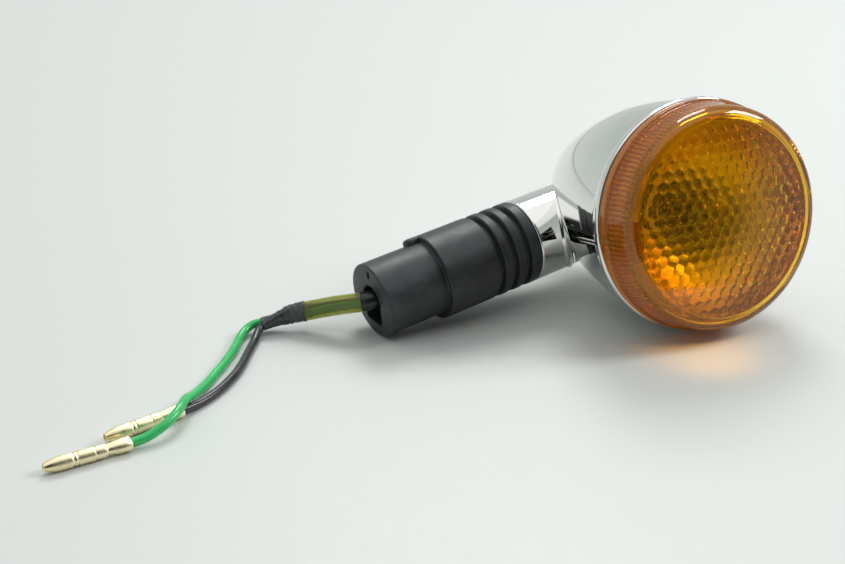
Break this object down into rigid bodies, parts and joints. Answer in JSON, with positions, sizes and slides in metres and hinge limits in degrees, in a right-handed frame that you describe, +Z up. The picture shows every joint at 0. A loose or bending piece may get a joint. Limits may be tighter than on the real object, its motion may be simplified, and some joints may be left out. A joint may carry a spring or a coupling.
{
  "type": "turn signal indicator",
  "caption": "Motorcycle turn signal with a chrome bullet housing, round amber lens, mitred chrome stem in a grooved rubber mount, and free leads with bullet terminals.",
  "frame": {"origin": "middle of the box round the lamp without its free leads, on the surface it lies on", "axes": "+Z up; +X along the stem from the rubber mount to the head, in plan; the lens looks towards -Y, turned 7.6 degrees towards -X and lifted 12.5 degrees"},
  "size_m": [0.2276, 0.0862, 0.0678],
  "materials": {
    "chrome": "mirror chrome plate",
    "amber_lens": "transparent amber acrylic, glossy, ribbed wall and pillow optics",
    "rubber": "matte moulded rubber",
    "steel": "zinc plated",
    "brass": "satin, lightly tarnished",
    "reflector": "metallised",
    "bulb_glass": "clear",
    "phenolic": "dark moulded",
    "tungsten": "drawn wire",
    "olive_vinyl": "translucent soft vinyl",
    "black_tape": "vinyl tape, satin",
    "green_insulation": "soft wire insulation",
    "black_insulation": "soft wire insulation"
  },
  "bodies": {
    "mount": {"rubber_mount": "rubber", "mount_sleeve": "steel", "cable_collar": "rubber", "vinyl_sleeve": "olive_vinyl", "tape_wrap": "black_tape", "green_lead": "green_insulation", "black_lead": "black_insulation", "green_terminal": "brass", "black_terminal": "brass"},
    "head": {"stem": "chrome", "neck_gasket": "rubber", "neck_bolt": "steel", "neck_washer": "steel", "neck_nut": "steel", "housing": "chrome", "lens": "amber_lens", "lens_gasket": "rubber", "lens_screw_1": "steel", "lens_screw_2": "steel", "reflector": "reflector", "socket_shell": "steel", "socket_rivet_1": "brass", "socket_rivet_2": "brass", "socket_rivet_3": "brass", "contact_spring": "steel", "live_lead": "green_insulation", "earth_lead": "black_insulation"},
    "contact": {"contact_carrier": "phenolic", "center_contact": "brass"},
    "bulb": {"bulb_base": "brass", "bulb_glass": "bulb_glass", "bulb_stem_press": "bulb_glass", "filament_post_left": "tungsten", "filament_post_right": "tungsten", "bulb_filament": "tungsten", "base_insulator": "phenolic", "base_tip": "steel"}
  },
  "joints": [
    {"name": "stem_flex", "type": "hinge", "parent": "mount", "child": "head", "pos_m": [-0.01742, 0.019, 0.01719], "axis": [-0.1381, 0, 0.9904], "range_deg": [-12, 12], "stiffness_Nm_per_rad": 8, "deforming": ["rubber_mount", "live_lead", "earth_lead"]},
    {"name": "contact_press", "type": "slide", "parent": "head", "child": "contact", "axis": [0.1291, 0.9677, -0.2164], "range_m": [0, 0.0022], "stiffness_N_per_m": 1500, "deforming": ["contact_spring"]},
    {"name": "bulb_twist", "type": "hinge", "parent": "contact", "child": "bulb", "pos_m": [0.02689, -0.02232, 0.03388], "axis": [-0.1291, -0.9677, 0.2164], "range_deg": [0, 22]}
  ]
}
